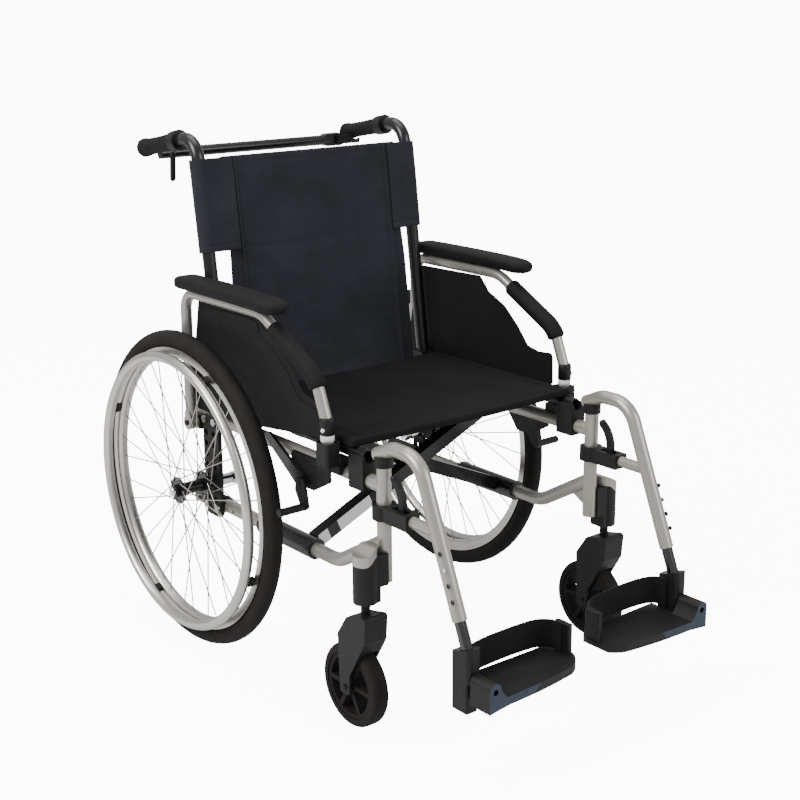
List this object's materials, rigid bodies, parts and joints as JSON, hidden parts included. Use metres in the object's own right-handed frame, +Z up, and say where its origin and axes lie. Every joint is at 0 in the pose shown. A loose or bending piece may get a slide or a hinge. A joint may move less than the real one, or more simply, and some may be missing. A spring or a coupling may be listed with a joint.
{
  "type": "folding manual wheelchair",
  "caption": "Folding self-propelled wheelchair with scissor cross brace, sling seat, spoked drive wheels, swivel casters and swing-away leg rests.",
  "frame": {"origin": "on the floor, under the middle of the chair's box", "axes": "+Z up, -Y the way the chair faces, +X its own left"},
  "size_m": [0.719, 1.0951, 0.9693],
  "materials": {
    "bare_aluminium": "satin anodised",
    "black_paint": "gloss black",
    "black_plastic": "fine grain",
    "chrome_steel": "polished",
    "frame_paint": "satin silver-grey paint",
    "grip_rubber": "matt",
    "pad_foam": "soft moulded foam skin",
    "panel_plastic": "moulded grain",
    "sling_cloth": "woven nylon",
    "spoke_steel": "drawn wire",
    "strap_web": "woven webbing",
    "tyre_rubber": "matt"
  },
  "bodies": {
    "left_frame": {"side_frame_left": "frame_paint", "axle_plate_left": "black_plastic", "axle_left": "chrome_steel", "back_post_left": "black_paint", "push_grip_left": "grip_rubber", "post_fittings_left": "black_plastic", "frame_mounts_left": "black_plastic", "brake_bracket_left": "black_paint", "caster_housing_left": "black_plastic", "back_sling": "sling_cloth"},
    "right_frame": {"side_frame_right": "frame_paint", "axle_plate_right": "black_plastic", "axle_right": "chrome_steel", "back_post_right": "black_paint", "push_grip_right": "grip_rubber", "post_fittings_right": "black_plastic", "frame_mounts_right": "black_plastic", "brake_bracket_right": "black_paint", "caster_housing_right": "black_plastic"},
    "drive_wheel_left": {"hub_left": "black_paint", "spokes_left": "spoke_steel", "rim_left": "bare_aluminium", "tyre_left": "tyre_rubber", "handrim_left": "bare_aluminium"},
    "brake_lever_left": {"brake_lever_left": "black_paint"},
    "brake_shoe_left": {"brake_shoe_left": "bare_aluminium"},
    "armrest_left": {"arm_tube_left": "frame_paint", "arm_padding_left": "pad_foam", "side_panel_left": "panel_plastic"},
    "caster_swivel_left": {"caster_fork_left": "black_plastic"},
    "caster_wheel_left": {"caster_wheel_left": "tyre_rubber"},
    "hanger_left": {"hanger_left": "frame_paint"},
    "latch_lever_left": {"latch_lever_left": "black_plastic"},
    "leg_extension_left": {"leg_tube_left": "chrome_steel"},
    "footplate_left": {"footplate_left": "black_plastic", "heel_strap_left": "strap_web"},
    "seat_left": {"seat_sling_left": "sling_cloth"},
    "drive_wheel_right": {"hub_right": "black_paint", "spokes_right": "spoke_steel", "rim_right": "bare_aluminium", "tyre_right": "tyre_rubber", "handrim_right": "bare_aluminium"},
    "brake_lever_right": {"brake_lever_right": "black_paint"},
    "brake_shoe_right": {"brake_shoe_right": "bare_aluminium"},
    "armrest_right": {"arm_tube_right": "frame_paint", "arm_padding_right": "pad_foam", "side_panel_right": "panel_plastic"},
    "caster_swivel_right": {"caster_fork_right": "black_plastic"},
    "caster_wheel_right": {"caster_wheel_right": "tyre_rubber"},
    "hanger_right": {"hanger_right": "frame_paint"},
    "latch_lever_right": {"latch_lever_right": "black_plastic"},
    "leg_extension_right": {"leg_tube_right": "chrome_steel"},
    "footplate_right": {"footplate_right": "black_plastic", "heel_strap_right": "strap_web"},
    "seat_right": {"seat_sling_right": "sling_cloth"},
    "brace_left": {"cross_brace_left": "black_paint", "brace_pivot": "spoke_steel"},
    "brace_right": {"cross_brace_right": "black_paint"},
    "tension_bar": {"tension_bar": "black_paint"}
  },
  "joints": [
    {"name": "frame_fold", "type": "hinge", "parent": "left_frame", "child": "brace_left", "pos_m": [0.244, -0.0275, 0.258], "axis": [0, 1, 0], "range_deg": [0, 52], "deforming": ["back_sling"]},
    {"name": "brace_scissor", "type": "hinge", "parent": "brace_left", "child": "brace_right", "pos_m": [0, -0.0335, 0.3645], "axis": [0, 1, 0], "range_deg": [-104.5, 0]},
    {"name": "right_frame_follow", "type": "hinge", "parent": "brace_right", "child": "right_frame", "pos_m": [-0.244, -0.0275, 0.258], "axis": [0, 1, 0], "range_deg": [0, 52.5]},
    {"name": "seat_fold_left", "type": "hinge", "parent": "brace_right", "child": "seat_left", "pos_m": [0.244, -0.0275, 0.471], "axis": [0, 1, 0], "range_deg": [0, 131]},
    {"name": "seat_fold_right", "type": "hinge", "parent": "brace_left", "child": "seat_right", "pos_m": [-0.244, -0.0275, 0.471], "axis": [0, 1, 0], "range_deg": [-131, 0]},
    {"name": "tension_bar_swing", "type": "hinge", "parent": "left_frame", "child": "tension_bar", "pos_m": [0.207, 0.4555, 0.914], "axis": [0, -1, 0], "range_deg": [0, 91]},
    {"name": "drive_wheel_spin_left", "type": "hinge", "parent": "left_frame", "child": "drive_wheel_left", "pos_m": [0.3165, 0.2425, 0.305], "axis": [1, 0, 0], "continuous": true},
    {"name": "caster_swivel_left", "type": "hinge", "parent": "left_frame", "child": "caster_swivel_left", "pos_m": [0.286, -0.2705, 0.23], "axis": [0, 0, 1], "continuous": true},
    {"name": "caster_spin_left", "type": "hinge", "parent": "caster_swivel_left", "child": "caster_wheel_left", "pos_m": [0.286, -0.2405, 0.075], "axis": [1, 0, 0], "continuous": true},
    {"name": "brake_lever_left", "type": "hinge", "parent": "left_frame", "child": "brake_lever_left", "pos_m": [0.272, -0.0755, 0.392], "axis": [1, 0, 0], "range_deg": [0, 60]},
    {"name": "brake_shoe_left", "type": "hinge", "parent": "left_frame", "child": "brake_shoe_left", "pos_m": [0.278, -0.0755, 0.392], "axis": [1, 0, 0], "range_deg": [0, 32.5]},
    {"name": "armrest_flip_left", "type": "hinge", "parent": "left_frame", "child": "armrest_left", "pos_m": [0.279, 0.2845, 0.42], "axis": [-1, 0, 0], "range_deg": [0, 90]},
    {"name": "hanger_swing_left", "type": "hinge", "parent": "left_frame", "child": "hanger_left", "pos_m": [0.244, -0.2705, 0.43], "axis": [0, 0, 1], "range_deg": [0, 90]},
    {"name": "latch_lever_left", "type": "hinge", "parent": "hanger_left", "child": "latch_lever_left", "pos_m": [0.244, -0.3175, 0.394], "axis": [1, 0, 0], "range_deg": [0, 18], "stiffness_Nm_per_rad": 0.5},
    {"name": "leg_length_left", "type": "slide", "parent": "hanger_left", "child": "leg_extension_left", "axis": [0, -0.3792, -0.9253], "range_m": [-0.035, 0.05]},
    {"name": "footplate_flip_left", "type": "hinge", "parent": "leg_extension_left", "child": "footplate_left", "pos_m": [0.244, -0.5175, 0.165], "axis": [0, 1, 0], "range_deg": [0, 90], "deforming": ["heel_strap_left"]},
    {"name": "drive_wheel_spin_right", "type": "hinge", "parent": "right_frame", "child": "drive_wheel_right", "pos_m": [-0.3165, 0.2425, 0.305], "axis": [1, 0, 0], "continuous": true},
    {"name": "caster_swivel_right", "type": "hinge", "parent": "right_frame", "child": "caster_swivel_right", "pos_m": [-0.286, -0.2705, 0.23], "axis": [0, 0, 1], "continuous": true},
    {"name": "caster_spin_right", "type": "hinge", "parent": "caster_swivel_right", "child": "caster_wheel_right", "pos_m": [-0.286, -0.2405, 0.075], "axis": [1, 0, 0], "continuous": true},
    {"name": "brake_lever_right", "type": "hinge", "parent": "right_frame", "child": "brake_lever_right", "pos_m": [-0.272, -0.0755, 0.392], "axis": [1, 0, 0], "range_deg": [0, 60]},
    {"name": "brake_shoe_right", "type": "hinge", "parent": "right_frame", "child": "brake_shoe_right", "pos_m": [-0.278, -0.0755, 0.392], "axis": [1, 0, 0], "range_deg": [0, 32.5]},
    {"name": "armrest_flip_right", "type": "hinge", "parent": "right_frame", "child": "armrest_right", "pos_m": [-0.279, 0.2845, 0.42], "axis": [-1, 0, 0], "range_deg": [0, 90]},
    {"name": "hanger_swing_right", "type": "hinge", "parent": "right_frame", "child": "hanger_right", "pos_m": [-0.244, -0.2705, 0.43], "axis": [0, 0, -1], "range_deg": [0, 90]},
    {"name": "latch_lever_right", "type": "hinge", "parent": "hanger_right", "child": "latch_lever_right", "pos_m": [-0.244, -0.3175, 0.394], "axis": [1, 0, 0], "range_deg": [0, 18], "stiffness_Nm_per_rad": 0.5},
    {"name": "leg_length_right", "type": "slide", "parent": "hanger_right", "child": "leg_extension_right", "axis": [0, -0.3792, -0.9253], "range_m": [-0.035, 0.05]},
    {"name": "footplate_flip_right", "type": "hinge", "parent": "leg_extension_right", "child": "footplate_right", "pos_m": [-0.244, -0.5175, 0.165], "axis": [0, -1, 0], "range_deg": [0, 90], "deforming": ["heel_strap_right"]}
  ],
  "couplings": [
    {"joint": "brace_scissor", "follows": "frame_fold", "ratio": -2},
    {"joint": "right_frame_follow", "follows": "frame_fold", "ratio": 1},
    {"joint": "seat_fold_left", "follows": "frame_fold", "ratio": 2.5},
    {"joint": "seat_fold_right", "follows": "frame_fold", "ratio": -2.5},
    {"joint": "tension_bar_swing", "follows": "frame_fold", "ratio": 1.73},
    {"joint": "footplate_flip_left", "follows": "frame_fold", "ratio": 1.73},
    {"joint": "footplate_flip_right", "follows": "frame_fold", "ratio": 1.73},
    {"joint": "brake_shoe_left", "follows": "brake_lever_left", "ratio": 0.5333},
    {"joint": "brake_shoe_right", "follows": "brake_lever_right", "ratio": 0.5333}
  ]
}
